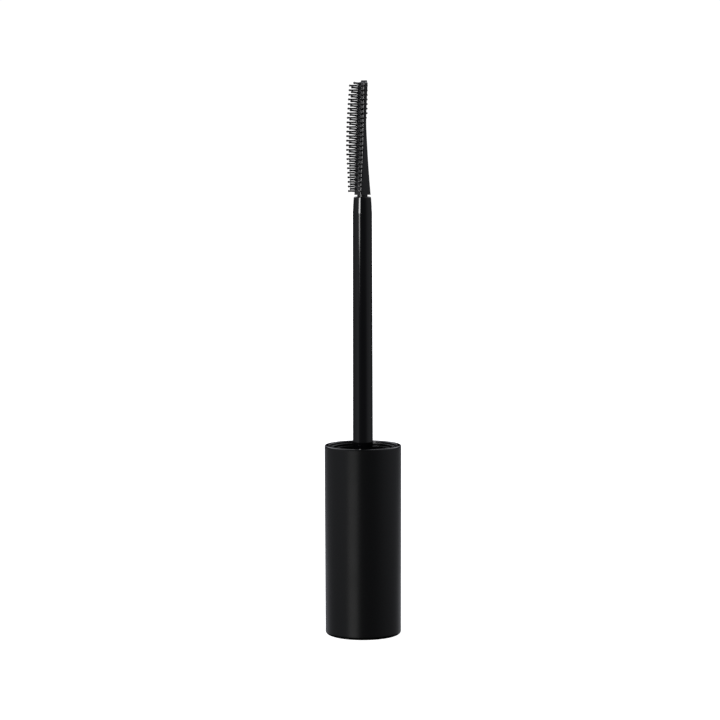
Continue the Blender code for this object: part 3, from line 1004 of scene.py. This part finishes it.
def softbox(name, degrees, width, low, high, radiance, lit):
    """An upright area light at an angle to the right of the camera, that lights some pieces."""
    angle = math.radians(degrees)
    light = bpy.data.lights.new(name, "AREA")
    light.shape = "RECTANGLE"
    light.size, light.size_y = width, high - low
    light.energy = radiance * math.pi * width * (high - low)
    box = bpy.data.objects.new(name, light)
    bpy.context.scene.collection.objects.link(box)
    box.location = (math.sin(angle) * SOFTBOX_DISTANCE, -math.cos(angle) * SOFTBOX_DISTANCE, (low + high) / 2)
    box.rotation_euler = (math.pi / 2, 0.0, angle)
    box.visible_camera = False
    box.light_linking.receiver_collection = lit


mouth = [inner_cap, inner_thread, bore_band]
wand_pieces = receivers("wand_pieces", [wand_stem, brush_plug, brush_core, brush_bristles, *mouth])
cap_pieces = receivers("cap_pieces", [outer_cap])
mouth_pieces = receivers("mouth_pieces", mouth)
for number, (low, high, share, width) in enumerate(KEY_STRIPS):
    radiance = KEY_RADIANCE * share
    softbox(f"key_{number + 1}", KEY_DEGREES, width * MM, low * MM, high * MM, radiance, wand_pieces)
softbox("high_key", -58.0, 300 * MM, 230 * MM, 800 * MM, KEY_RADIANCE, mouth_pieces)
softbox("card", -30.5, 360 * MM, -260 * MM, -10 * MM, 1.0, cap_pieces)
print("lights:", sorted(light.name for light in bpy.data.lights))

# %% [markdown]
# ## The room in the reflections
# Round the softboxes the pieces mirror a dim room. It is drawn in the world's colour, as three bands, each
# with its brightness by compass angle: the table below the horizon, the walls, with a broad white card on
# each side and a narrow one behind it, and the ceiling. The camera stands at 0 degrees, and the angles grow
# to its right. A fourth ramp dims or lifts the whole room by height. The camera itself sees plain white.

# %% Helpers for the room
ROOM_HUE = (0.97, 0.99, 1.06)


def ramp(tree, value, low, high, stops):
    """A colour ramp over a value's range, from (value, level) pairs, in the room's faintly blue white."""
    share = add_node(tree, "ShaderNodeMapRange", inputs={"Value": value, "From Min": low, "From Max": high})
    node = add_node(tree, "ShaderNodeValToRGB", inputs={"Fac": share.outputs["Result"]})
    marks = node.color_ramp.elements
    marks.remove(marks[1])
    for index, (where, level) in enumerate(stops):
        position = (where - low) / (high - low)
        mark = marks[0] if index == 0 else marks.new(position)
        mark.position = position
        mark.color = (*(level * part for part in ROOM_HUE), 1.0)
    return node.outputs["Color"]


def blend(tree, value, low, high, first, second):
    """A smooth change from one colour to another as a value goes from low to high."""
    share = add_node(
        tree,
        "ShaderNodeMapRange",
        {"interpolation_type": "SMOOTHSTEP"},
        {"Value": value, "From Min": low, "From Max": high},
    )
    colours = {"Factor": share.outputs["Result"], "A": first, "B": second}
    return add_node(tree, "ShaderNodeMix", {"data_type": "RGBA"}, colours).outputs["Result"]


# %% Set the room's brightness by compass angle, in degrees, and by height
TABLE_ROOM = (
    (-180, 0.1),
    (-165, 0.4),
    (-150, 0.62),
    (-138, 0.57),
    (-128, 0.47),
    (-112, 0.34),
    (-98, 0.31),
    (-60, 0.36),
    (-48, 0.3),
    (-38, 0.14),
    (0, 0.2),
    (30, 0.18),
    (48, 0.16),
    (60, 0.16),
    (75, 0.18),
    (90, 0.18),
    (100, 0.21),
    (113, 0.26),
    (130, 0.37),
    (140, 0.54),
    (150, 0.62),
    (165, 0.4),
    (180, 0.1),
)
WALL_ROOM = (
    (-180, 0.01),
    (-174, 0.01),
    (-167, 0.35),
    (-156, 0.35),
    (-146, 0.05),
    (-125, 0.05),
    (-112, 0.2),
    (-100, 0.28),
    (-90, 0.31),
    (-76, 0.39),
    (-62, 0.46),
    (-50, 0.44),
    (-40, 0.13),
    (-27, 0.1),
    (0, 0.085),
    (29, 0.1),
    (41, 0.155),
    (53, 0.25),
    (66, 0.32),
    (79, 0.35),
    (95, 0.35),
    (112, 0.22),
    (130, 0.08),
    (146, 0.05),
    (156, 0.35),
    (167, 0.35),
    (174, 0.01),
    (180, 0.01),
)
CEILING_ROOM = (
    (-180, 0.35),
    (-150, 0.8),
    (-130, 0.8),
    (-110, 0.45),
    (-60, 0.2),
    (-20, 0.08),
    (30, 0.08),
    (70, 0.15),
    (110, 0.4),
    (130, 0.7),
    (150, 0.7),
    (180, 0.35),
)
HEIGHTS = ((-1.0, 0.02), (-0.42, 0.02), (-0.26, 0.8), (-0.13, 1.0), (0.28, 1.0), (0.5, 2.8), (1.0, 1.0))
TABLE_EDGE = (-0.19, -0.12)
CEILING_EDGE = (0.22, 0.42)

# %% Draw the room
world = bpy.data.worlds.new("studio")
world.use_nodes = True
bpy.context.scene.world = world
tree = world.node_tree
tree.nodes.clear()
direction = add_node(tree, "ShaderNodeTexCoord").outputs["Generated"]
axes = add_node(tree, "ShaderNodeSeparateXYZ", inputs={0: direction}).outputs
nearer = add_node(tree, "ShaderNodeMath", {"operation": "MULTIPLY"}, {0: axes["Y"], 1: -1.0})
azimuth = add_node(
    tree, "ShaderNodeMath", {"operation": "ARCTAN2"}, {0: axes["X"], 1: nearer.outputs["Value"]}
)
degrees = add_node(tree, "ShaderNodeMath", {"operation": "DEGREES"}, {0: azimuth.outputs["Value"]})
table_room, wall_room, ceiling_room = (
    ramp(tree, degrees.outputs["Value"], -180, 180, stops) for stops in (TABLE_ROOM, WALL_ROOM, CEILING_ROOM)
)
walls = blend(tree, axes["Z"], *TABLE_EDGE, table_room, wall_room)
room = blend(tree, axes["Z"], *CEILING_EDGE, walls, ceiling_room)
strength = ramp(tree, axes["Z"], -1, 1, HEIGHTS)
dim = add_node(tree, "ShaderNodeBackground", inputs={"Color": room, "Strength": strength})
white = add_node(tree, "ShaderNodeBackground", inputs={"Color": (1.0, 1.0, 1.0, 1.0), "Strength": 1.05})
seen = add_node(tree, "ShaderNodeLightPath").outputs["Is Camera Ray"]
both = add_node(
    tree,
    "ShaderNodeMixShader",
    inputs={0: seen, 1: dim.outputs["Background"], 2: white.outputs["Background"]},
)
add_node(tree, "ShaderNodeOutputWorld", inputs={"Surface": both.outputs["Shader"]})
print("room:", len(tree.nodes), "nodes")

# %% [markdown]
# ## Floor
# The floor is a wide white sheet that glows by itself, as a backlit table does. So it shows no shadow, and it
# does not show in the object's reflections.

# %% Lay the floor
FLOOR_REACH = 3.0
FLOOR_CLOUDS = 40 * MM

floor_mesh = bpy.data.meshes.new("floor")
corners = [(x * FLOOR_REACH, y * FLOOR_REACH, 0) for x, y in ((-1, -1), (1, -1), (1, 1), (-1, 1))]
floor_mesh.from_pydata(corners, [], [(0, 1, 2, 3)])
floor = bpy.data.objects.new("floor", floor_mesh)
bpy.context.scene.collection.objects.link(floor)
table, tree, shader, place = new_material("backlit_table")
set_finish(shader, Roughness=0.9, Emission_Strength=1.05)
glow = noise(tree, place, FLOOR_CLOUDS, 2.0)
join(tree, shader, Emission_Color=tint(tree, glow, "#ffffff", "#fdfdfd"))
floor_mesh.materials.append(table)
floor.visible_glossy = False
floor.visible_diffuse = False
floor.visible_shadow = False
floor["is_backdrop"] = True

bpy.context.scene.view_settings.view_transform = "Standard"

# %% [markdown]
# ## The boxes
# The finer pieces must stay in the CAD model's box. Both boxes are printed.

# %% Print both boxes
visual_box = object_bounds()
for label, box in (("cad", cad_box), ("visual", visual_box)):
    print(label, "box in mm:", [round(v / MM, 2) for corner in box for v in corner])
